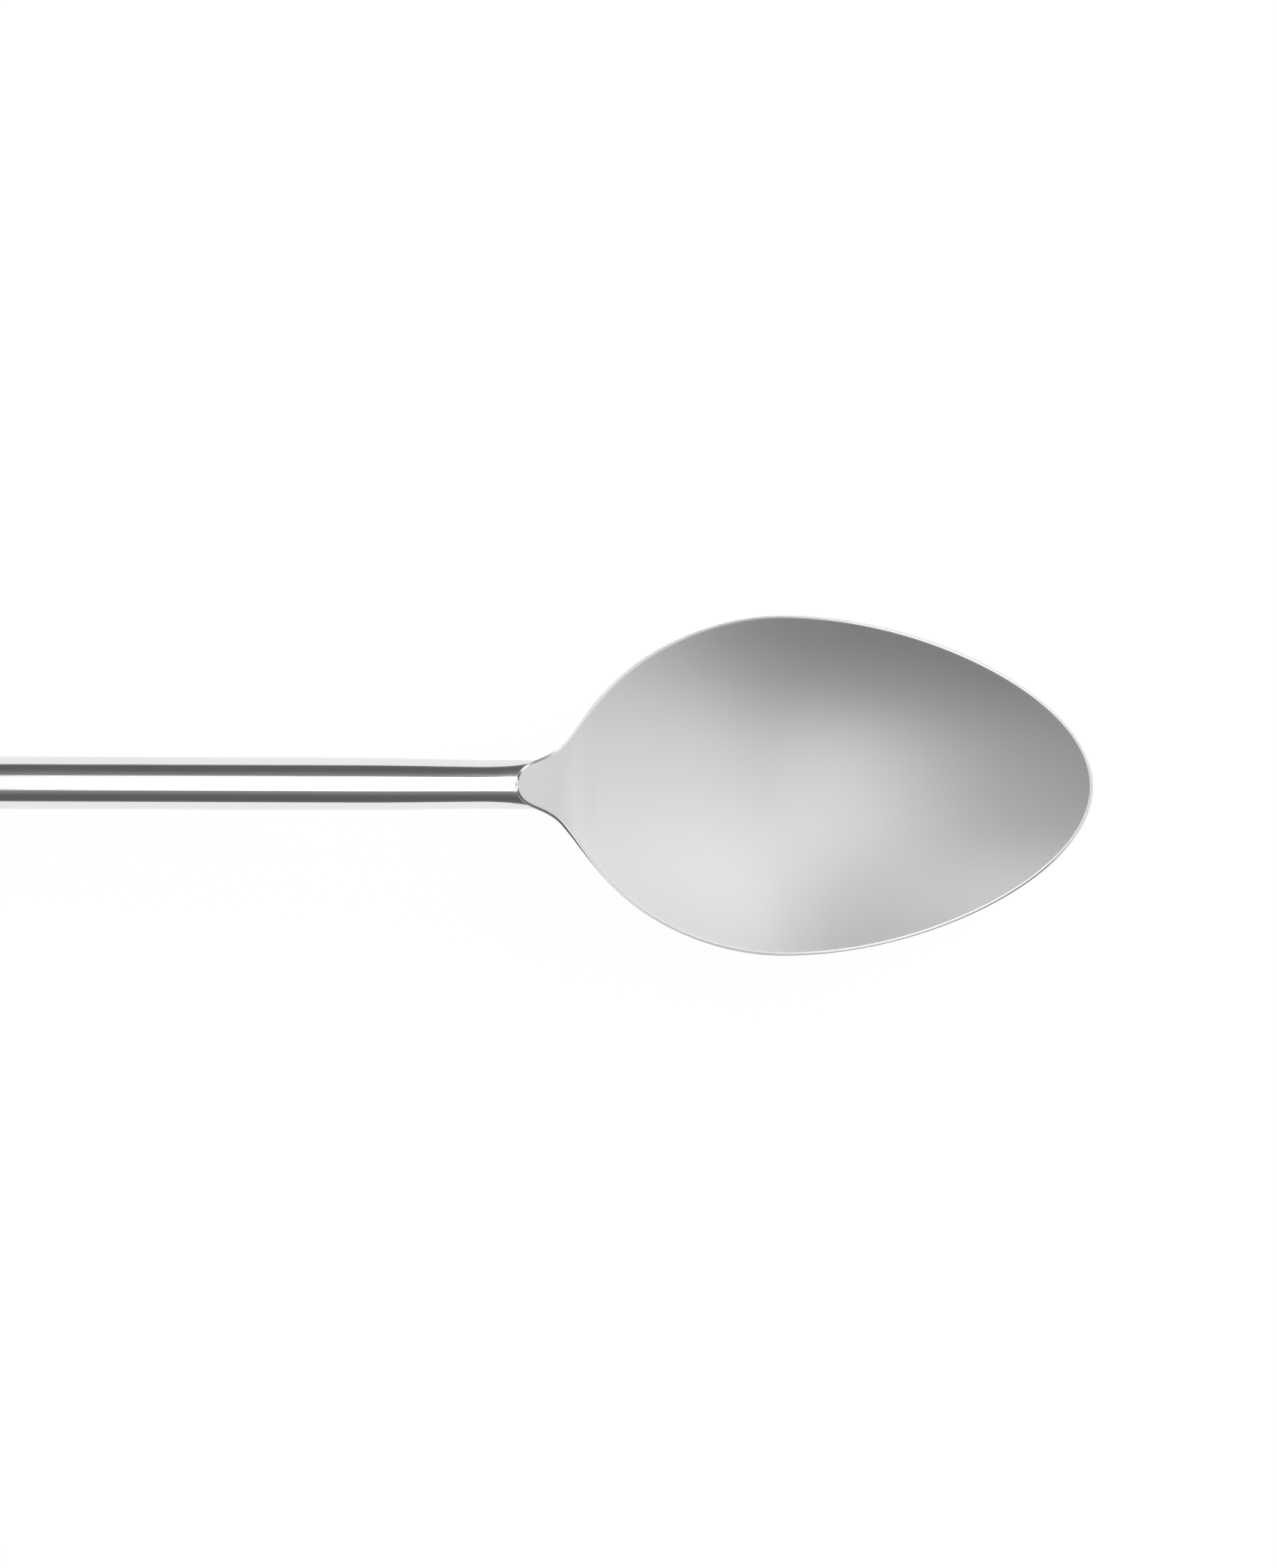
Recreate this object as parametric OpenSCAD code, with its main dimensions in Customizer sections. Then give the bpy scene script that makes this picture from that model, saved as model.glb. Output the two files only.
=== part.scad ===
// Dessert spoon forged in one piece from a round bar.
// The round handle runs up to the neck, where its top is pressed flat into a tongue with a rounded end.
// The tongue widens into a shallow oval bowl, and the bar fades away under the bowl as a keel.
// The spoon lies on its belly and the end of its handle: X runs to the bowl's tip and Z is up.

/* [Overall] */
// Length from the handle's end to the bowl's tip
overall_l = 180; // [165:1:200]

/* [Handle] */
// Diameter of the straight round handle
handle_d = 5.9; // [5.5:0.1:6.5]
// Diameter at the waist, just before the tongue
waist_d = 5.4; // [5:0.1:5.7]
// Length over which the handle narrows and bends down to the tongue
neck_l = 18.5; // [14:0.5:26]
// Radius of the rounding round the handle's end
end_r = 0.8; // [0.3:0.1:1.5]

/* [Bowl outline] */
// Length from the tongue's end to the bowl's tip
bowl_l = 64.5; // [60:0.5:70]
// Greatest width of the bowl
bowl_w = 38; // [35:0.5:42]
// Distance of the widest place from the tongue's end
widest_at = 30; // [28:0.5:33]
// Radius of the outline at the bowl's tip
tip_r = 8.2; // [7:0.1:9.5]
// Distance of the shoulder, where the outline turns from hollow to round, from the tongue's end
shoulder_at = 11; // [10.5:0.1:12]
// Width at the shoulder
shoulder_w = 23; // [21:0.5:24.5]
// Growth of the half width for each millimetre along the shoulder
shoulder_flare = 0.98; // [0.9:0.01:1.05]
// Distance of the throat, where the tongue starts to widen, from the tongue's end
throat_at = 4.4; // [4:0.1:4.8]
// Width at the throat
throat_w = 7.6; // [7.2:0.1:8]
// Growth of the half width for each millimetre along the throat
throat_flare = 0.7; // [0.6:0.01:0.8]
// Radius of the outline at the tongue's end
tongue_r = 2.6; // [2.2:0.1:2.8]

/* [Bowl form] */
// Depth of the bowl under its rim at the widest place
bowl_depth = 6.8; // [6:0.1:8]
// Length over which the tongue's flat face turns into the hollow of the bowl
dish_fade = 6.5; // [5:0.5:9]
// Thickness at the middle of the bowl
bowl_t = 1.7; // [1.5:0.1:2.2]
// Thickness of the rim
rim_t = 1.3; // [1.1:0.1:1.5]
// Width of the rounded edge, seen from above
edge_w = 0.45; // [0.35:0.05:0.6]
// Drop of the rounded edge from the top face
edge_drop = 0.25; // [0.2:0.05:0.4]

/* [Side view] */
// Height of the tongue's end over the table
neck_h = 13; // [11.5:0.5:16]
// Height of the rim at the bowl's tip
tip_h = 8.2; // [7.5:0.1:9.5]
// Rise of the tongue for each millimetre, negative where it falls to the bowl
tongue_rise = -0.06; // [-0.1:0.01:0]
// Rise of the rim for each millimetre at the widest place
rim_rise = -0.1; // [-0.15:0.01:-0.05]
// Rise of the rim for each millimetre at the bowl's tip
tip_rise = 0.06; // [0:0.01:0.12]

/* [Sides and underside of the neck] */
// Length before the tongue over which a ridge starts to rise on each side of the bar
ridge_l = 4; // [2:0.5:8]
// Place where the handle's sides run into the tongue's edge, from the tongue's end
merge_at = 2.8; // [2.6:0.1:3]
// Length over which the tongue's side wall thins to the rim's thickness
wall_fade = 8; // [6:0.5:11]
// Length of the keel under the bowl
keel_l = 24; // [20:0.5:28]
// Width of the keel where it fades away, at half of its depth
keel_w = 11; // [8:0.5:13]

/* [Hidden] */
steel = [0.78, 0.78, 0.79];
handle_r = handle_d / 2;
waist_r = waist_d / 2;
half_bowl = bowl_w / 2;
tongue_x = overall_l / 2 - bowl_l;
neck_x = tongue_x - neck_l;
// Length of the neck's root inside the handle's end
root_l = 1;
// The root is thinner than the handle by this much all round
root_gap = 0.1;
// Place of the neck's first section outside the handle
seat_l = 0.3;
// The first section is thinner than the handle by this much all round
seat_gap = 0.02;
// Least height of the edge between its upper and lower rounding
least_wall = 0.12;
// Least share of a section's width that belongs to the top face
least_face = 0.55;
// Gap between a section's last point on the top and the outline, and its greatest share of the half width
edge_gap = 0.02;
edge_share = 0.04;
// Half angle of the flat strip under the belly
strip_a = 6;
// Numbers of sections along the neck, the tongue and the bowl
neck_n = 14;
tongue_n = 9;
bowl_n = 43;
// Numbers of points across half a section: top face, upper edge, flank or side wall, lower edge, underside
face_n = 8;
upper_n = 4;
flank_n = 6;
lower_n = 3;
under_n = 12;
side_n = face_n + 1 + upper_n + flank_n;
half_n = side_n + 1 + lower_n + under_n;
$fn = 96;

// Curves: a knot is [place, value, slope]
function ease(t) = let (c = min(max(t, 0), 1)) c * c * (3 - 2 * c);
function mix(a, b, t) = a + (b - a) * t;
function hermite(a, b, u) =
    let (h = b[0] - a[0], t = (u - a[0]) / h, r = 1 - t)
    r * r * (a[1] * (1 + 2 * t) + a[2] * h * t) + t * t * (b[1] * (3 - 2 * t) - b[2] * h * r);
function spline(knots, u, i = 0) =
    u <= knots[i + 1][0] || i + 2 == len(knots)
        ? hermite(knots[i], knots[i + 1], u)
        : spline(knots, u, i + 1);

// Outline: the square of the half width, which keeps both ends round
outline = [
    [0, 0, 2 * tongue_r],
    [throat_at, pow(throat_w / 2, 2), throat_w * throat_flare],
    [shoulder_at, pow(shoulder_w / 2, 2), shoulder_w * shoulder_flare],
    [widest_at, pow(half_bowl, 2), 0],
    [bowl_l, 0, -2 * tip_r]
];
slope_step = 0.01;
function width2(u) = spline(outline, u);
function half_w(u) = sqrt(max(width2(u), 0));
function width2_slope(u) = (width2(u + slope_step) - width2(u - slope_step)) / (2 * slope_step);

// Distance in from the outline
function inset(u, y) = (width2(u) - y * y) / (2 * sqrt(y * y + pow(width2_slope(u) / 2, 2)));
// Place across the edge: 0 at its inner side, 1 at the outline
function edge_at(u, y) = min(max(1 - inset(u, y) / edge_w, 0), 1);
// Half width of the top face inside the rounded edge
function face_half_w(u) =
    let (g = pow(width2_slope(u) / 2, 2), q = sqrt(edge_w * edge_w + g + width2(u)) - edge_w)
    max(sqrt(max(q * q - g, 0)), least_face * half_w(u));

// Top face: a rim line, and a dish whose depth follows the square of the width
rim_line = [
    [0, neck_h, tongue_rise],
    [widest_at, bowl_depth + bowl_t, rim_rise],
    [bowl_l, tip_h, tip_rise]
];
dish = bowl_depth / pow(half_bowl, 2);
belly = (bowl_t - rim_t) / pow(half_bowl, 2);
function rim_z(u) = spline(rim_line, u);
function dish_at(u) = dish * ease((u - merge_at) / dish_fade);
function face_z(u, y) = rim_z(u) - dish_at(u) * (width2(u) - y * y);
function top_z(u, y) = face_z(u, y) - edge_drop * pow(edge_at(u, y), 2);

// Underside: the sheet's own form, and the keel that carries the handle on under it
function sheet_z(u) = rim_z(u) - rim_t - (dish_at(u) + belly) * width2(u);
keel_line = [
    [0, neck_h - waist_d, tongue_rise],
    [keel_l, sheet_z(keel_l), (sheet_z(keel_l + slope_step) - sheet_z(keel_l)) / slope_step]
];
function keel_z(u) = spline(keel_line, u);

// The bar's flank beside the tongue: a circle that opens into a parabola, so that a ridge rises at its side
function ridge(u) = pow(min(max((u + ridge_l) / (merge_at + ridge_l), 0), 1), 2);
function crown_drop(y, r, u) = y * y / r / (1 + sqrt(max(1 - (1 - ridge(u)) * pow(y / r, 2), 0)));
function flank_z(u, y) = face_z(u, 0) - crown_drop(y, waist_r, u);

// Side wall under the rim, and the sheet's edge below it
merge_w = half_w(merge_at);
merge_wall = rim_z(merge_at) - edge_drop - flank_z(merge_at, merge_w);
function fade(u) = ease((u - merge_at) / wall_fade);
function foot_z(u) = rim_z(u) - edge_drop - least_wall - (merge_wall - least_wall) * (1 - fade(u));
// Half width of the keel at half of its depth, starting from the round bar's own
function keel_half_w(u) =
    mix(merge_w * sin(60), keel_w / 2, ease((u - merge_at) / (keel_l - merge_at)));
function keel_power(u) = ln(0.5) / ln(1 - pow(keel_half_w(u) / half_w(u), 2));
function plate_z(u, y) =
    foot_z(u) - fade(u) * (rim_t - edge_drop - least_wall) * sqrt(1 - pow(edge_at(u, y), 2))
    - (dish_at(u) + belly) * (width2(u) - y * y);
function under_z(u, s) =
    let (drop = u < keel_l ? plate_z(u, 0) - keel_z(u) : 0)
    plate_z(u, s * half_w(u)) - drop * pow(max(1 - s * s, 0), u < keel_l ? keel_power(u) : 1);

// Half width of the bar beside the tongue, from ridge to ridge
flare_at = 0.35 * merge_at;
merge_slope = width2_slope(merge_at) / (2 * merge_w);
function body_w(u) =
    u <= flare_at ? waist_r : hermite([flare_at, waist_r, 0], [merge_at, merge_w, merge_slope], u);
function side_z(u) = flank_z(u, body_w(u));

// Places of a section's points: half widths on the top and the flank, then angles from straight down
function upper_y(u) =
    let (w = half_w(u), f = face_half_w(u), e = w - min(edge_gap, edge_share * w))
    [for (i = [0:face_n]) f * i / face_n,
     for (i = [1:upper_n]) mix(f, e, i / upper_n)];
function flank_y(u) =
    let (w = body_w(u), foot_a = asin(half_w(u) / w))
    [for (i = [0:flank_n - 1]) w * sin(mix(foot_a, 90, i / flank_n))];
function under_a(u) =
    let (w = half_w(u), f = face_half_w(u), in_a = asin(f / w))
    [90,
     for (i = [1:lower_n]) asin((f + (w - f) * cos(90 * i / lower_n)) / w),
     for (i = [1:under_n]) mix(in_a, strip_a, i / under_n)];
merge_a = under_a(merge_at);

// Half sections as [y, z], from the middle of the top to the underside's strip
function tongue_section(u) =
    [for (y = upper_y(u)) [y, max(top_z(u, y), flank_z(u, y))],
     for (y = flank_y(u)) [y, flank_z(u, y)],
     for (a = merge_a) [body_w(u) * sin(a), mix(side_z(u), keel_z(u), cos(a))]];
function bowl_section(u) =
    [for (y = upper_y(u)) [y, top_z(u, y)],
     for (i = [0:flank_n - 1]) [half_w(u), mix(rim_z(u) - edge_drop, foot_z(u), i / flank_n)],
     for (a = under_a(u)) [half_w(u) * sin(a), under_z(u, sin(a))]];

// Places of the sections along the spoon, closer together where the form changes fast
tongue_u = [for (i = [1:tongue_n - 1]) merge_at * (1 - cos(90 * i / tongue_n))];
bowl_u = [for (i = [0:bowl_n - 1]) mix(merge_at, bowl_l, (1 - cos(180 * i / bowl_n)) / 2)];
lift = -min([for (u = bowl_u) under_z(u, sin(strip_a))]);

// Lean of the straight handle, which brings its rounded end down to the table
tongue_z = neck_h + lift;
end_mid_r = handle_r - end_r;
function neck_drop(lean) = neck_l * (tan(lean) + tongue_rise) / 2;
function handle_lean(lean = 4, turns = 12) =
    turns == 0 ? lean :
    handle_lean(atan2(tongue_z - waist_r - neck_drop(lean) - end_r - end_mid_r * cos(lean),
                      neck_x + overall_l / 2 - end_r - end_mid_r * sin(lean)), turns - 1);
lean = handle_lean();
neck_z = tongue_z - waist_r - neck_drop(lean);
handle_l = (neck_x + overall_l / 2 - end_r - end_mid_r * sin(lean)) / cos(lean) + end_r;

// Neck: sections that bend and narrow from the round handle to the ridges beside the tongue's end
first_a = [
    for (y = concat(upper_y(tongue_u[0]), flank_y(tongue_u[0]))) asin(y / waist_r),
    for (a = merge_a) 180 - a
];
function even_a(i) =
    i < side_n ? 90 * i / side_n : mix(90, 180 - strip_a, (i - side_n) / (half_n - 1 - side_n));
function neck_section(s, r) =
    let (t = max(s / neck_l, 0),
         z = neck_z + tan(lean) * s + (tongue_rise - tan(lean)) * t * t * neck_l / 2,
         tilt = lean * (1 - t),
         side_h = r - crown_drop(r, r, s - neck_l))
    [for (i = [0:half_n - 1])
        let (a = mix(even_a(i), first_a[i], ease(t)),
             h = i < side_n ? r - crown_drop(r * sin(a), r, s - neck_l) : mix(side_h, -r, -cos(a)))
        [neck_x + s - h * sin(tilt), r * sin(a), z + h * cos(tilt)]];

// A ring is a whole section: the half section, then its mirror image on the way back
function place(u, half) = [for (p = half) [tongue_x + u, p[0], p[1] + lift]];
function ring(half) = concat(half, [for (i = [half_n - 1:-1:1]) [half[i][0], -half[i][1], half[i][2]]]);

module forging() {
    rings = concat(
        [ring(neck_section(-root_l, handle_r - root_gap))],
        [for (i = [0:neck_n])
            let (s = mix(seat_l, neck_l, i / neck_n))
            ring(neck_section(s, mix(handle_r - seat_gap, waist_r, ease(s / neck_l))))],
        [for (u = tongue_u) ring(place(u, tongue_section(u)))],
        [for (u = bowl_u) ring(place(u, bowl_section(u)))]
    );
    ring_n = 2 * half_n - 1;
    last = len(rings) - 1;
    tip = [tongue_x + bowl_l, 0, tip_h - edge_drop + lift];
    points = concat([for (r = rings) each r], [tip]);
    start = [for (j = [ring_n - 1:-1:0]) j];
    // Each four-sided patch is split so that it bulges outwards, or inwards on the hollow top face
    sides = [for (i = [0:last - 1], j = [0:ring_n - 1])
        let (a = i * ring_n + j, b = i * ring_n + (j + 1) % ring_n, c = b + ring_n, d = a + ring_n,
             bulge = cross(points[b] - points[a], points[c] - points[a]) * (points[d] - points[a]),
             hollow = i > neck_n + tongue_n && (j < face_n || j >= ring_n - face_n))
        each (bulge > 0) != hollow ? [[a, b, c], [a, c, d]] : [[a, b, d], [b, c, d]]];
    tip_fan = [for (j = [0:ring_n - 1])
        [last * ring_n + j, last * ring_n + (j + 1) % ring_n, (last + 1) * ring_n]];
    polyhedron(points, concat([start], sides, tip_fan));
}

module handle() {
    translate([neck_x, 0, neck_z]) rotate([0, -90 - lean, 0]) rotate_extrude() {
        square([handle_r, handle_l - end_r]);
        square([end_mid_r, handle_l]);
        translate([end_mid_r, handle_l - end_r]) circle(end_r);
    }
}

module spoon() {
    color(steel) {
        handle();
        forging();
    }
}

spoon();
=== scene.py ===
"""Dessert spoon forged in one piece.

The top face of the tongue and the bowl is satin inside a finely ground edge. The rest is polished.
"""

import math

import bpy
import numpy as np
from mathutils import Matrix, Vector


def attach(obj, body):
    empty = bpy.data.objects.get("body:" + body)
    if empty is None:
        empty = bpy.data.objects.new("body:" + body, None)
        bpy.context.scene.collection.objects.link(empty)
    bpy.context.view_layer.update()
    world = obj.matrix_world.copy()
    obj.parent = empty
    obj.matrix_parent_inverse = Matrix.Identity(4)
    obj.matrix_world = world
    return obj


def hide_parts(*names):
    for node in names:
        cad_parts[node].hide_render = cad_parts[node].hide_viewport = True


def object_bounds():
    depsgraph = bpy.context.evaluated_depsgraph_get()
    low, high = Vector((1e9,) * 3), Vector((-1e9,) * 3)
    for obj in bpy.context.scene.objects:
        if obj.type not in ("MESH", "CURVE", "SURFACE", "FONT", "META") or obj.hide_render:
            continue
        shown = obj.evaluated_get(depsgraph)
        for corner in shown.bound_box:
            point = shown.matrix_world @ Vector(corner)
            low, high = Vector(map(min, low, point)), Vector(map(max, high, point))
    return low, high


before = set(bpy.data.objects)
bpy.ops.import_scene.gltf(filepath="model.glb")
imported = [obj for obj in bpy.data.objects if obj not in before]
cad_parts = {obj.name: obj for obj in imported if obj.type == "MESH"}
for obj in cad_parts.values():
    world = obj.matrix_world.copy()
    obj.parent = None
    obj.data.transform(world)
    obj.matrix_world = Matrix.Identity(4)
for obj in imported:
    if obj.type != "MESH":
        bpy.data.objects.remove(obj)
cad_low, cad_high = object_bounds()
MM = 0.001

# The bar's sizes, in millimetres, as in the CAD source
OVERALL_L = 180
HANDLE_R = 2.95
WAIST_R = 2.7
NECK_L = 18.5
END_R = 0.8

# Outline: a place is its distance from the tongue's end, a flare the half width's growth for each millimetre
BOWL_L = 64.5
HALF_BOWL = 19.0
WIDEST_AT = 30
TIP_R = 8.2
SHOULDER_AT = 11
SHOULDER_W = 23
SHOULDER_FLARE = 0.98
THROAT_AT = 4.4
THROAT_W = 7.6
THROAT_FLARE = 0.7
TONGUE_R = 2.6

# Form of the bowl and its rim
BOWL_DEPTH = 6.8
DISH_FADE = 6.5
BOWL_T = 1.7
RIM_T = 1.3
EDGE_W = 0.45
EDGE_DROP = 0.25

# Side view: heights, and rises for each millimetre
NECK_H = 13
TIP_H = 8.2
TONGUE_RISE = -0.06
RIM_RISE = -0.1
TIP_RISE = 0.06

# Sides and underside of the neck, and the half angle of the belly's flat strip in degrees
RIDGE_L = 4
MERGE_AT = 2.8
WALL_FADE = 8
KEEL_L = 24
KEEL_W = 11
LEAST_WALL = 0.12
STRIP_A = 6

TONGUE_X = OVERALL_L / 2 - BOWL_L
NECK_X = TONGUE_X - NECK_L


# Curves: a knot is (place, value, slope)
def ease(t):
    c = np.clip(t, 0, 1)
    return c * c * (3 - 2 * c)


def mix(a, b, t):
    return a + (b - a) * t


def hermite(a, b, u):
    h = b[0] - a[0]
    t = (u - a[0]) / h
    r = 1 - t
    return r * r * (a[1] * (1 + 2 * t) + a[2] * h * t) + t * t * (b[1] * (3 - 2 * t) - b[2] * h * r)


def spline(knots, u):
    u = np.asarray(u, float)
    out = hermite(knots[0], knots[1], u)
    for a, b in zip(knots[1:], knots[2:]):
        out = np.where(u > a[0], hermite(a, b, u), out)
    return out


# Outline: the square of the half width, which keeps both ends round
OUTLINE = [
    (0, 0, 2 * TONGUE_R),
    (THROAT_AT, (THROAT_W / 2) ** 2, THROAT_W * THROAT_FLARE),
    (SHOULDER_AT, (SHOULDER_W / 2) ** 2, SHOULDER_W * SHOULDER_FLARE),
    (WIDEST_AT, HALF_BOWL**2, 0),
    (BOWL_L, 0, -2 * TIP_R),
]
SLOPE_STEP = 0.01
# Keeps a division by the half width finite at the two ends
LEAST_W = 1e-6


def width2(u):
    return spline(OUTLINE, u)


def width2_slope(u):
    return (width2(u + SLOPE_STEP) - width2(u - SLOPE_STEP)) / (2 * SLOPE_STEP)


def half_w(u):
    return np.sqrt(np.maximum(width2(u), 0))


def contour(u, d):
    """Half width of the line that runs d inside the outline; 0 before that line starts."""
    g = (width2_slope(u) / 2) ** 2
    q = np.sqrt(d * d + g + np.maximum(width2(u), 0)) - d
    return np.sqrt(np.maximum(q * q - g, 0))


def edge_at(u, y):
    """Place across the edge: 0 at its inner side, 1 at the outline."""
    inset = (width2(u) - y * y) / (2 * np.sqrt(y * y + (width2_slope(u) / 2) ** 2))
    return np.clip(1 - inset / EDGE_W, 0, 1)


# Top face: a rim line, and a dish whose depth follows the square of the width
RIM_LINE = [
    (0, NECK_H, TONGUE_RISE),
    (WIDEST_AT, BOWL_DEPTH + BOWL_T, RIM_RISE),
    (BOWL_L, TIP_H, TIP_RISE),
]
DISH = BOWL_DEPTH / HALF_BOWL**2
BELLY = (BOWL_T - RIM_T) / HALF_BOWL**2


def rim_z(u):
    return spline(RIM_LINE, u)


def dish_at(u):
    return DISH * ease((u - MERGE_AT) / DISH_FADE)


def face_z(u, y):
    return rim_z(u) - dish_at(u) * (width2(u) - y * y)


def top_z(u, y):
    return face_z(u, y) - EDGE_DROP * edge_at(u, y) ** 2


# Underside: the sheet's own form, and the keel that carries the handle on under it
def sheet_z(u):
    return rim_z(u) - RIM_T - (dish_at(u) + BELLY) * width2(u)


KEEL_END_Z = float(sheet_z(KEEL_L))
KEEL_END_SLOPE = float((sheet_z(KEEL_L + SLOPE_STEP) - sheet_z(KEEL_L)) / SLOPE_STEP)
KEEL_LINE = [
    (0, NECK_H - 2 * WAIST_R, TONGUE_RISE),
    (KEEL_L, KEEL_END_Z, KEEL_END_SLOPE),
]
# Greatest share of the half width that the keel takes
MOST_KEEL = 0.99


def keel_z(u):
    return spline(KEEL_LINE, u)


def crown_drop(y, r, u):
    """Drop of the bar's flank from its crown: a circle that opens into a parabola as the ridge rises."""
    ridge = np.clip((u + RIDGE_L) / (MERGE_AT + RIDGE_L), 0, 1) ** 2
    return y * y / r / (1 + np.sqrt(np.maximum(1 - (1 - ridge) * (y / r) ** 2, 0)))


def flank_z(u, y):
    return face_z(u, 0) - crown_drop(y, WAIST_R, u)


# Where the handle's sides have run into the tongue's edge
MERGE_W = float(half_w(MERGE_AT))
MERGE_WALL = float(rim_z(MERGE_AT)) - EDGE_DROP - float(flank_z(MERGE_AT, MERGE_W))
MERGE_SLOPE = float(width2_slope(MERGE_AT)) / (2 * MERGE_W)
# Where the bar starts to widen beside the tongue
FLARE_AT = 0.35 * MERGE_AT


def fade(u):
    return ease((u - MERGE_AT) / WALL_FADE)


def foot_z(u):
    return rim_z(u) - EDGE_DROP - LEAST_WALL - (MERGE_WALL - LEAST_WALL) * (1 - fade(u))


def plate_z(u, y):
    lower = fade(u) * (RIM_T - EDGE_DROP - LEAST_WALL) * np.sqrt(1 - edge_at(u, y) ** 2)
    return foot_z(u) - lower - (dish_at(u) + BELLY) * (width2(u) - y * y)


def keel_power(u, w):
    """Power of the keel's form, which rises to half of its depth at the keel's own half width."""
    round_bar = math.sin(math.pi / 3) * MERGE_W
    keel = mix(round_bar, KEEL_W / 2, ease((u - MERGE_AT) / (KEEL_L - MERGE_AT)))
    return np.log(0.5) / np.log(1 - np.minimum(keel / w, MOST_KEEL) ** 2)


def under_z(u, y):
    w = np.maximum(half_w(u), LEAST_W)
    s2 = np.clip((y / w) ** 2, 0, 1)
    drop = np.where(u < KEEL_L, plate_z(u, 0) - keel_z(u), 0)
    return plate_z(u, y) - drop * (1 - s2) ** np.where(u < KEEL_L, keel_power(u, w), 1)


def body_w(u):
    """Half width of the bar beside the tongue, from ridge to ridge."""
    start = (FLARE_AT, WAIST_R, 0)
    end = (MERGE_AT, MERGE_W, MERGE_SLOPE)
    return np.where(u <= FLARE_AT, WAIST_R, hermite(start, end, u))


# The belly's flat strip rests on the table, so the lift is measured where the CAD's strip starts
BELLY_TRIES = 4000
BELLY_TIP_GAP = 0.1
belly_u = np.linspace(MERGE_AT, BOWL_L - BELLY_TIP_GAP, BELLY_TRIES)
strip_y = half_w(belly_u) * math.sin(math.radians(STRIP_A))
LIFT = -float(np.min(under_z(belly_u, strip_y)))
TONGUE_Z = NECK_H + LIFT
END_MID_R = HANDLE_R - END_R


def neck_start_z(lean):
    """Height of the bar's middle line where the neck starts."""
    return TONGUE_Z - WAIST_R - NECK_L * (math.tan(lean) + TONGUE_RISE) / 2


def end_reach(lean):
    """Distance along X that the handle's middle line runs before its end starts to round."""
    return NECK_X + OVERALL_L / 2 - END_R - END_MID_R * math.sin(lean)


def handle_lean(lean=math.radians(4), turns=20):
    """The lean that brings the handle's rounded end down to the table: each turn comes closer to it."""
    for _ in range(turns):
        lean = math.atan2(neck_start_z(lean) - END_R - END_MID_R * math.cos(lean), end_reach(lean))
    return lean


lean = handle_lean()
NECK_Z = neck_start_z(lean)
HANDLE_L = end_reach(lean) / math.cos(lean) + END_R

# Steps across half a section, from the middle of the top to the middle of the underside
FACE_N = 32
UPPER_N = 8
FLANK_N = 16
LOWER_N = 12
UNDER_N = 34
# The face's points as shares of its half width, and the two edges' points as distances inside the outline
face_s = np.linspace(0, 1, FACE_N + 1)
upper_d = EDGE_W * np.linspace(1, 0, UPPER_N + 1)[1:-1]
lower_d = EDGE_W * (1 - np.cos(np.radians(np.linspace(0, 90, LOWER_N + 1)[1:])))
flank_k = np.arange(FLANK_N) / FLANK_N
TOP_N = len(face_s) + len(upper_d) + 1
BODY_N = 1 + len(lower_d) + UNDER_N
HALF_N = TOP_N + FLANK_N + BODY_N
# The satin runs two points onto the rounded edge, to 0.34 mm inside the outline
SATIN_N = len(face_s) + 1


def top_y(u):
    """Half widths of the top's points, from the middle to the outline."""
    edge = [contour(u, d) for d in upper_d]
    return np.concatenate((contour(u, EDGE_W) * face_s, edge, [half_w(u)]))


def under_y(u):
    """Half widths of the underside's points, from the outline to the middle."""
    w = half_w(u)
    edge = [contour(u, d) for d in lower_d]
    inner_a = np.arcsin(np.clip(contour(u, EDGE_W) / max(w, LEAST_W), 0, 1))
    return np.concatenate(([w], edge, w * np.sin(np.linspace(inner_a, 0, UNDER_N + 1)[1:])))


merge_a = np.arcsin(np.clip(under_y(MERGE_AT) / MERGE_W, 0, 1))


def half_section(u):
    """[x, y, z] of a half section of the tongue or the bowl."""
    y = top_y(u)
    z = top_z(u, y)
    w = float(half_w(u))
    if u < MERGE_AT:
        z = np.maximum(z, flank_z(u, y))
        body = float(body_w(u))
        side_y = body * np.sin(mix(math.asin(min(w / body, 1)), math.pi / 2, flank_k))
        side = np.stack((side_y, flank_z(u, side_y)), 1)
        ridge_z = float(flank_z(u, body))
        low = np.stack((body * np.sin(merge_a), mix(ridge_z, float(keel_z(u)), np.cos(merge_a))), 1)
    else:
        side_z = mix(float(rim_z(u)) - EDGE_DROP, float(foot_z(u)), flank_k)
        side = np.stack((np.full(FLANK_N, w), side_z), 1)
        low_y = under_y(u)
        low = np.stack((low_y, under_z(u, low_y)), 1)
    yz = np.concatenate((np.stack((y, z), 1), side, low))
    return np.stack((np.full(len(yz), TONGUE_X + u), yz[:, 0], np.maximum(yz[:, 1] + LIFT, 0)), 1)


def bar_section(x, z, r, tilt, u, t):
    """A half section of the handle or the neck: the face's points all lie on its crown."""
    a = np.concatenate((np.zeros(TOP_N), flank_k * math.pi / 2))
    low_a = mix(np.linspace(math.pi / 2, 0, BODY_N), merge_a, t)
    ridge_h = r - crown_drop(r, r, u)
    y = np.concatenate((r * np.sin(a), r * np.sin(low_a)))
    h = np.concatenate((r - crown_drop(r * np.sin(a), r, u), mix(ridge_h, -r, np.cos(low_a))))
    return np.stack((x - h * math.sin(tilt), y, z + h * math.cos(tilt)), 1)


# Rings on the handle's flat end, as shares of its radius: the first closes the middle
FLAT_END_SHARES = (1e-9, 0.25, 0.5, 0.75, 0.9)
END_ARC_N = 13
HANDLE_N = 60
NECK_N = 48


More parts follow.
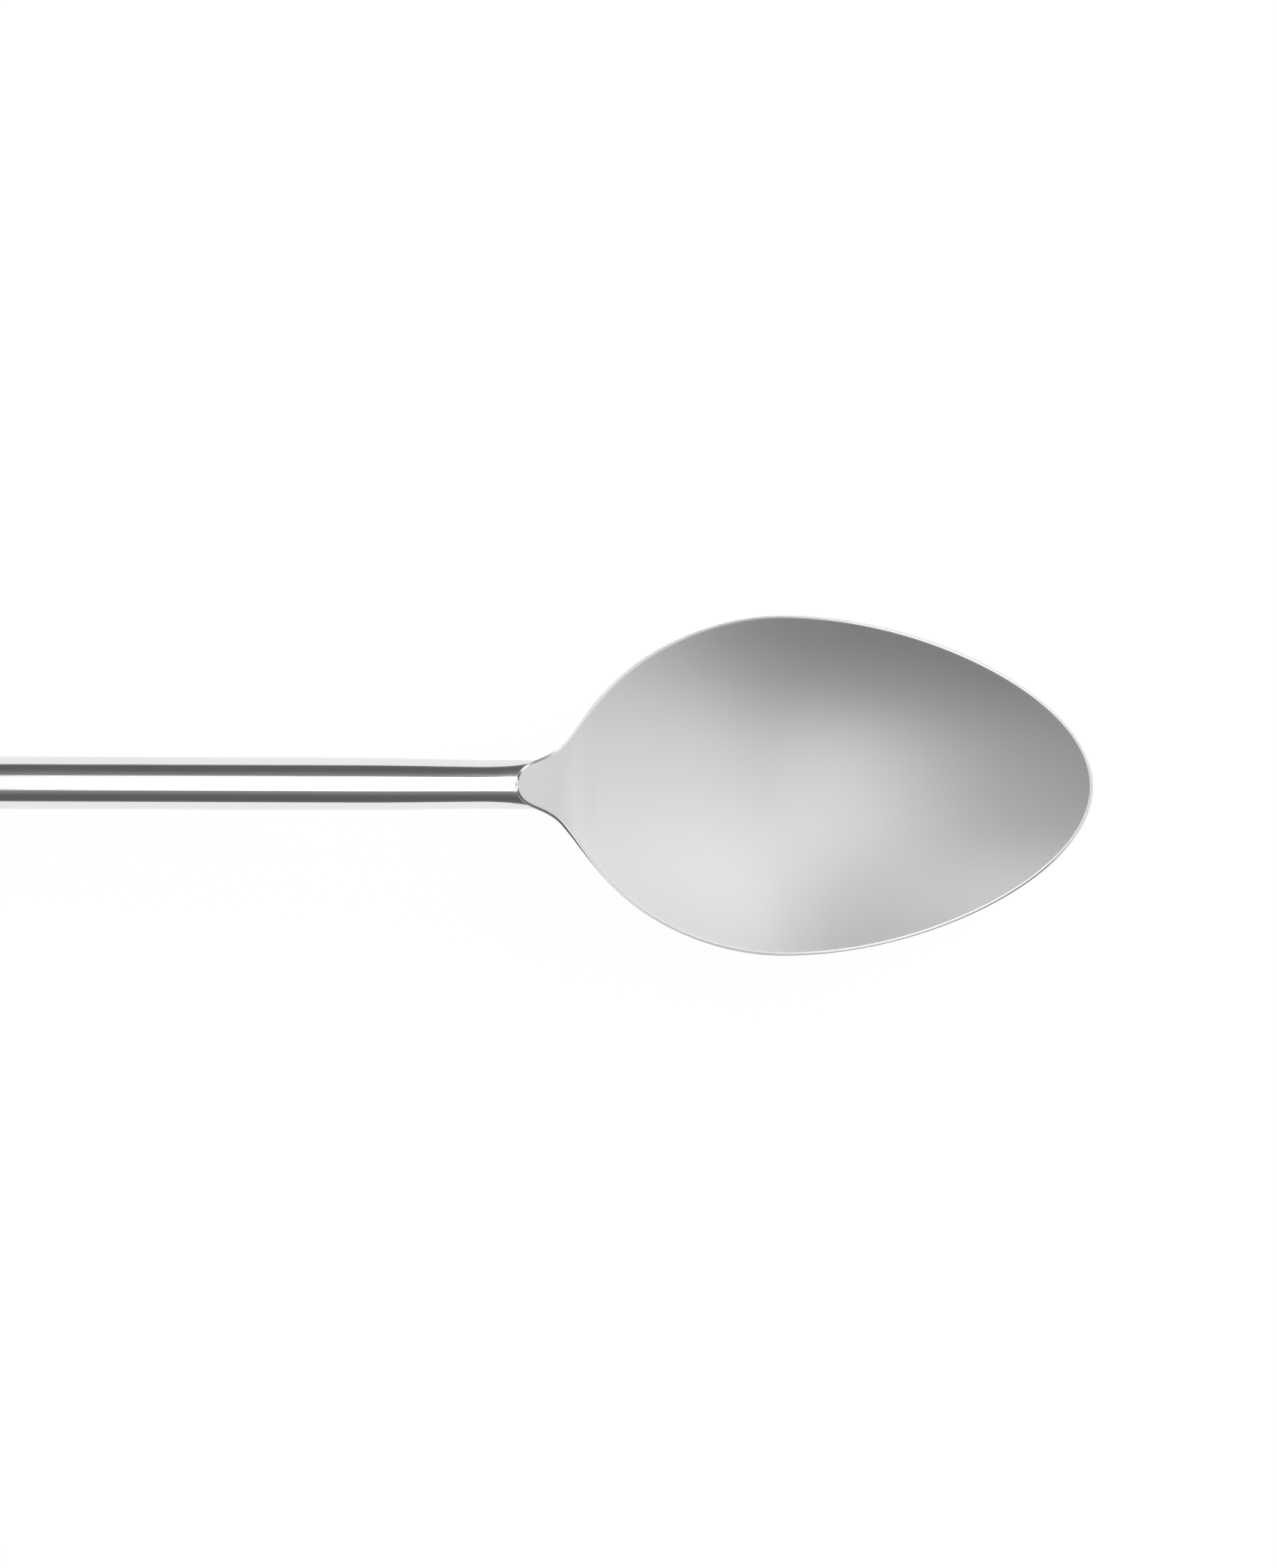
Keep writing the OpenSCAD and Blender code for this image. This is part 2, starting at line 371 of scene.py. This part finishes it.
def handle_sections():
    """Sections of the straight handle, from the middle of its end to the neck."""
    turned = [(HANDLE_L, END_MID_R * share) for share in FLAT_END_SHARES]
    for a in np.radians(np.linspace(90, 0, END_ARC_N)):
        turned.append((HANDLE_L - END_R + END_R * math.sin(a), END_MID_R + END_R * math.cos(a)))
    for s in np.linspace(HANDLE_L - END_R, 0, HANDLE_N)[1:-1]:
        turned.append((s, HANDLE_R))
    sections = []
    for s, r in turned:
        x = NECK_X - s * math.cos(lean)
        z = NECK_Z - s * math.sin(lean)
        sections.append(bar_section(x, z, r, lean, -s - NECK_L, 0))
    return sections


def neck_sections():
    """Sections that bend and narrow from the handle to the tongue's end."""
    sections = []
    for t in np.linspace(0, 1, NECK_N)[:-1]:
        s = t * NECK_L
        z = NECK_Z + math.tan(lean) * s + (TONGUE_RISE - math.tan(lean)) * t * t * NECK_L / 2
        r = mix(HANDLE_R, WAIST_R, ease(t))
        sections.append(bar_section(NECK_X + s, z, r, lean * (1 - t), s - NECK_L, ease(t)))
    return sections


def find_tip(d, start, reach=4, turns=50):
    """Where the line d inside the outline starts, within reach times d of one of the outline's two ends."""
    low, high = (start, start + reach * d) if start == 0 else (start - reach * d, start)
    for _ in range(turns):
        mid = (low + high) / 2
        inside = contour(mid, d) > 0
        if (start == 0) == bool(inside):
            high = mid
        else:
            low = mid
    return high if start == 0 else low


# Radii along which the sections close in on the two ends of the line at the edge's inner side
FACE_TONGUE_R = 2
FACE_TIP_R = 7.6
# Angles round the ends at which those sections lie, in degrees
ARC_STEP = 3
ARC_TO = 66
# Sections stand closer together between the first two places, where the tongue widens
FINE_FROM = 1.6
FINE_TO = 9
FINE_STEP = 0.15
WIDE_STEP = 0.4
WIDE_TO = BOWL_L - 5
# The first section's place, and the least distance between two sections and from the last to the tip
FIRST_AT = 1e-4
LEAST_GAP = 0.008
TIP_GAP = 0.004


def section_places():
    """Distances of the sections from the tongue's end, closer together where the form changes fast."""
    arc = 1 - np.cos(np.radians(np.arange(ARC_STEP, ARC_TO, ARC_STEP)))
    near = [MERGE_AT, WIDEST_AT, KEEL_L]
    for d in (EDGE_W, *upper_d, *lower_d):
        near += [find_tip(d, 0), find_tip(d, BOWL_L)]
    near += list(TONGUE_R * arc)
    near += list(BOWL_L - TIP_R * arc)
    near += list(find_tip(EDGE_W, 0) + FACE_TONGUE_R * arc)
    near += list(find_tip(EDGE_W, BOWL_L) - FACE_TIP_R * arc)
    near += list(np.arange(FINE_FROM, FINE_TO, FINE_STEP))
    near += list(np.arange(FINE_TO, WIDE_TO, WIDE_STEP))
    places = [FIRST_AT]
    for u in sorted(near):
        if places[-1] + LEAST_GAP < u < BOWL_L - TIP_GAP:
            places.append(float(u))
    return places


# Material slots in the order in which the spoon gets them
SATIN_SLOT = 0
POLISH_SLOT = 1
EDGE_SLOT = 2
# Points that agree to this many digits of a millimetre are one point
POINT_DIGITS = 6
SHARP_A = 38


def finish_slot(column):
    """Slot of a column of faces, counted from the middle of the top: satin, ground edge, then polish."""
    if column < SATIN_N:
        return SATIN_SLOT
    if column < TOP_N - 1:
        return EDGE_SLOT
    return POLISH_SLOT


def closed_skin(sections, tip):
    """Points, faces and slots of one skin through the half sections and their mirror images."""
    ring_n = 2 * HALF_N - 2
    rings = [np.concatenate((half, half[-2:0:-1] * (1, -1, 1))) for half in sections]
    points = np.concatenate(rings + [np.array([tip])])
    points = np.minimum(np.maximum(points, np.array(cad_low) / MM), np.array(cad_high) / MM)
    faces = []
    slots = []
    for i in range(len(rings) - 1):
        for j in range(ring_n):
            a = i * ring_n + j
            b = i * ring_n + (j + 1) % ring_n
            faces.append((a, a + ring_n, b + ring_n, b))
            slots.append(finish_slot(min(j, ring_n - 1 - j)))
    last_ring = (len(rings) - 1) * ring_n
    for j in range(ring_n):
        faces.append((last_ring + j, len(points) - 1, last_ring + (j + 1) % ring_n))
        slots.append(POLISH_SLOT)
    return points, faces, slots


def without_doubles(points, faces, slots):
    """The same skin with points that coincide made one, and without the faces that collapse."""
    rounded = np.round(points, POINT_DIGITS)
    _, first, same = np.unique(rounded, axis=0, return_index=True, return_inverse=True)
    order = np.argsort(first)
    rank = np.empty(len(order), int)
    rank[order] = np.arange(len(order))
    number = rank[same.reshape(-1)].tolist()
    kept_faces = []
    kept_slots = []
    for face, slot in zip(faces, slots):
        corners = list(dict.fromkeys(number[k] for k in face))
        if len(corners) > 2:
            kept_faces.append(corners)
            kept_slots.append(slot)
    return points[first[order]], kept_faces, kept_slots


def forged_spoon():
    sections = handle_sections() + neck_sections() + [half_section(u) for u in section_places()]
    tip = [TONGUE_X + BOWL_L, 0, TIP_H - EDGE_DROP + LIFT]
    points, faces, slots = without_doubles(*closed_skin(sections, tip))
    mesh = bpy.data.meshes.new("forged_spoon")
    mesh.from_pydata((points * MM).tolist(), [], faces)
    mesh.polygons.foreach_set("material_index", slots)
    mesh.polygons.foreach_set("use_smooth", [True] * len(faces))
    mesh.validate()
    mesh.update()
    piece = bpy.data.objects.new("forged_spoon", mesh)
    bpy.context.collection.objects.link(piece)
    mesh.set_sharp_from_angle(angle=math.radians(SHARP_A))
    return piece


# Materials: the noise values between which the colour and the roughness change
TONE_FROM = 0.35
TONE_TO = 0.65
ROUGH_FROM = 0.3
ROUGH_TO = 0.7


def new_material(name):
    """A material, its node tree and its main shader."""
    material = bpy.data.materials.new(name)
    material.use_nodes = True
    tree = material.node_tree
    return material, tree, tree.nodes["Principled BSDF"]


def add_noise(tree, vector, scale, detail):
    noise = tree.nodes.new("ShaderNodeTexNoise")
    noise.inputs["Scale"].default_value = scale
    noise.inputs["Detail"].default_value = detail
    tree.links.new(vector, noise.inputs["Vector"])
    return noise.outputs["Fac"]


def tint_steel(tree, shader, source, dark, bright):
    """Bare metal whose colour follows the source between two tones."""
    ramp = tree.nodes.new("ShaderNodeValToRGB")
    for stop, place, tone in zip(ramp.color_ramp.elements, (TONE_FROM, TONE_TO), (dark, bright)):
        stop.position = place
        stop.color = (*tone, 1)
    shader.inputs["Metallic"].default_value = 1
    tree.links.new(source, ramp.inputs["Fac"])
    tree.links.new(ramp.outputs["Color"], shader.inputs["Base Color"])


def roughen(tree, shader, source, low, high):
    """Roughness that follows the source between two values."""
    spread = tree.nodes.new("ShaderNodeMapRange")
    spread.inputs["From Min"].default_value = ROUGH_FROM
    spread.inputs["From Max"].default_value = ROUGH_TO
    spread.inputs["To Min"].default_value = low
    spread.inputs["To Max"].default_value = high
    tree.links.new(source, spread.inputs["Value"])
    tree.links.new(spread.outputs["Result"], shader.inputs["Roughness"])


def add_bump(tree, shader, source, strength, distance):
    bump = tree.nodes.new("ShaderNodeBump")
    bump.inputs["Strength"].default_value = strength
    bump.inputs["Distance"].default_value = distance
    tree.links.new(source, bump.inputs["Height"])
    tree.links.new(bump.outputs["Normal"], shader.inputs["Normal"])


def satin_steel():
    """Blasted to an even, very fine grain."""
    material, tree, shader = new_material("satin_steel")
    place = tree.nodes.new("ShaderNodeTexCoord").outputs["Object"]
    cloud = add_noise(tree, place, scale=60, detail=3)
    tint_steel(tree, shader, cloud, dark=(0.715, 0.715, 0.707), bright=(0.735, 0.735, 0.727))
    roughen(tree, shader, cloud, low=0.49, high=0.52)
    grain = add_noise(tree, place, scale=5200, detail=2)
    add_bump(tree, shader, grain, strength=0.12, distance=0.00002)
    return material


def ground_edge_steel():
    """Finely ground, brighter and smoother than the satin."""
    material, tree, shader = new_material("ground_edge_steel")
    place = tree.nodes.new("ShaderNodeTexCoord").outputs["Object"]
    cloud = add_noise(tree, place, scale=60, detail=3)
    tint_steel(tree, shader, cloud, dark=(0.75, 0.75, 0.755), bright=(0.77, 0.77, 0.775))
    roughen(tree, shader, cloud, low=0.24, high=0.28)
    return material


def polished_steel():
    """Bright, with faint lengthwise polishing marks."""
    material, tree, shader = new_material("polished_steel")
    place = tree.nodes.new("ShaderNodeTexCoord").outputs["Object"]
    cloud = add_noise(tree, place, scale=40, detail=3)
    tint_steel(tree, shader, cloud, dark=(0.79, 0.79, 0.80), bright=(0.81, 0.81, 0.815))
    stretch = tree.nodes.new("ShaderNodeMapping")
    stretch.inputs["Scale"].default_value = (60, 2600, 2600)
    tree.links.new(place, stretch.inputs["Vector"])
    marks = add_noise(tree, stretch.outputs["Vector"], scale=1, detail=4)
    roughen(tree, shader, marks, low=0.08, high=0.13)
    add_bump(tree, shader, marks, strength=0.03, distance=0.00001)
    return material


spoon = forged_spoon()
spoon.data.materials.append(satin_steel())
spoon.data.materials.append(polished_steel())
spoon.data.materials.append(ground_edge_steel())
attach(spoon, "root")
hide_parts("spoon")

# Floor, light and camera, in metres
scene = bpy.context.scene
scene.view_settings.view_transform = "Standard"
FLOOR_HALF = 4
# Share of the white glow in what the camera and the steel see of the floor: the rest keeps the shadow
GLOW_SHARE = 0.88
GLOW_STRENGTH = 1.06


def pale_floor():
    """White to the camera and in the steel's reflections, pale grey to everything else."""
    material, tree, shader = new_material("pale_floor")
    shader.inputs["Base Color"].default_value = (0.9, 0.9, 0.9, 1)
    shader.inputs["Roughness"].default_value = 0.9
    shader.inputs["Specular IOR Level"].default_value = 0
    path = tree.nodes.new("ShaderNodeLightPath")
    seen = tree.nodes.new("ShaderNodeMath")
    seen.operation = "MAXIMUM"
    tree.links.new(path.outputs["Is Camera Ray"], seen.inputs[0])
    tree.links.new(path.outputs["Is Glossy Ray"], seen.inputs[1])
    share = tree.nodes.new("ShaderNodeMath")
    share.operation = "MULTIPLY"
    share.inputs[1].default_value = GLOW_SHARE
    tree.links.new(seen.outputs[0], share.inputs[0])
    glow = tree.nodes.new("ShaderNodeEmission")
    glow.inputs["Color"].default_value = (1, 1, 1, 1)
    glow.inputs["Strength"].default_value = GLOW_STRENGTH
    blend = tree.nodes.new("ShaderNodeMixShader")
    tree.links.new(share.outputs[0], blend.inputs[0])
    tree.links.new(shader.outputs["BSDF"], blend.inputs[1])
    tree.links.new(glow.outputs["Emission"], blend.inputs[2])
    tree.links.new(blend.outputs["Shader"], tree.nodes["Material Output"].inputs["Surface"])
    return material


floor_mesh = bpy.data.meshes.new("floor")
corners = [(-1, -1), (1, -1), (1, 1), (-1, 1)]
floor_mesh.from_pydata([(FLOOR_HALF * x, FLOOR_HALF * y, 0) for x, y in corners], [], [(0, 1, 2, 3)])
floor_mesh.materials.append(pale_floor())
floor = bpy.data.objects.new("floor", floor_mesh)
bpy.context.collection.objects.link(floor)

# The room's grey, from the horizon (0) to straight up (1). It is darkest from 12 to 30 degrees up, which
# the handle mirrors as soft dark bands.
ROOM_GREYS = ((0, 0.2), (0.2, 0.13), (0.5, 0.13), (0.65, 0.18), (0.8, 0.29))
ROOM_TINT = (1, 0.99, 1.04)


def studio_room():
    world = bpy.data.worlds.new("studio")
    world.use_nodes = True
    tree = world.node_tree
    coord = tree.nodes.new("ShaderNodeTexCoord")
    direction = tree.nodes.new("ShaderNodeSeparateXYZ")
    room = tree.nodes.new("ShaderNodeValToRGB")
    stops = room.color_ramp.elements
    for at, grey in ROOM_GREYS:
        stop = stops.new(at) if at else stops[0]
        stop.color = (*(part * grey for part in ROOM_TINT), 1)
    stops.remove(stops[-1])
    tree.links.new(coord.outputs["Generated"], direction.inputs["Vector"])
    tree.links.new(direction.outputs["Z"], room.inputs["Fac"])
    tree.links.new(room.outputs["Color"], tree.nodes["Background"].inputs["Color"])
    tree.nodes["Background"].inputs["Strength"].default_value = 1.0
    return world


scene.world = studio_room()


def softbox(name, place, look_at, width, height, radiance):
    light = bpy.data.lights.new(name, "AREA")
    light.shape = "RECTANGLE"
    light.size = width
    light.size_y = height
    light.energy = radiance * math.pi * width * height
    box = bpy.data.objects.new(name, light)
    bpy.context.collection.objects.link(box)
    box.location = place
    box.rotation_euler = (Vector(look_at) - Vector(place)).to_track_quat("-Z", "Y").to_euler()


# Each row of panels round the spoon: polar angle from straight up, half height and half width as angles,
# azimuths from +X towards +Y, all in degrees, and the radiance. No panel stands between azimuths 80 and 112
# or round 270, because the handle mirrors those directions.
PANEL_ROWS = (
    (38, 13, 15, (330, 0, 30, 60), 0.65),
    (38, 13, 2.5, (77.5,), 1.7),
    (62, 13, 15, (330, 0), 0.9),
    (62, 13, 15, (30, 60), 1.3),
    (62, 13, 2.5, (77.5,), 2.2),
    (62, 13, 12, (124,), 2.35),
    (82, 9, 15, (330, 0, 30, 60), 0.55),
    (82, 9, 2.5, (77.5,), 1.7),
    (82, 9, 12, (124,), 0.5),
)
PANEL_AWAY = 1.5
OVERHEAD_X = -0.0375
OVERHEAD_Y = 0.0125
OVERHEAD_Z = 1.25

softbox(
    "overhead",
    place=(OVERHEAD_X, OVERHEAD_Y, OVERHEAD_Z),
    look_at=(OVERHEAD_X, OVERHEAD_Y, 0),
    width=0.625,
    height=1.59,
    radiance=1.15,
)
for polar, half_height, half_width, azimuths, radiance in PANEL_ROWS:
    po = math.radians(polar)
    width = 2 * math.tan(math.radians(half_width)) * math.sin(po) * PANEL_AWAY
    height = 2 * math.tan(math.radians(half_height)) * PANEL_AWAY
    for azimuth in azimuths:
        az = math.radians(azimuth)
        outwards = Vector((math.sin(po) * math.cos(az), math.sin(po) * math.sin(az), math.cos(po)))
        softbox(f"wall_{polar}_{azimuth}", outwards * PANEL_AWAY, (0, 0, 0), width, height, radiance)

# The photograph's height in pixels, and its pixels for each millimetre at the rim's height
PHOTO_H = 2131
PX_PER_MM = 12.184
SENSOR_W = 36
RIM_Z = 0.009
CAMERA_AWAY = 1.0
CAMERA_X = 0.0392
CAMERA_Y = 0.0001
CAMERA_ROLL = 0.2

camera = bpy.data.cameras.new("camera")
camera.sensor_width = SENSOR_W
camera.lens = SENSOR_W * CAMERA_AWAY * 1000 * PX_PER_MM / PHOTO_H
camera.clip_start = 0.01
camera.clip_end = 20
camera_object = bpy.data.objects.new("camera", camera)
bpy.context.collection.objects.link(camera_object)
camera_object.location = (CAMERA_X, CAMERA_Y, CAMERA_AWAY + RIM_Z)
camera_object.rotation_euler = (0, 0, math.radians(CAMERA_ROLL))
scene.camera = camera_object
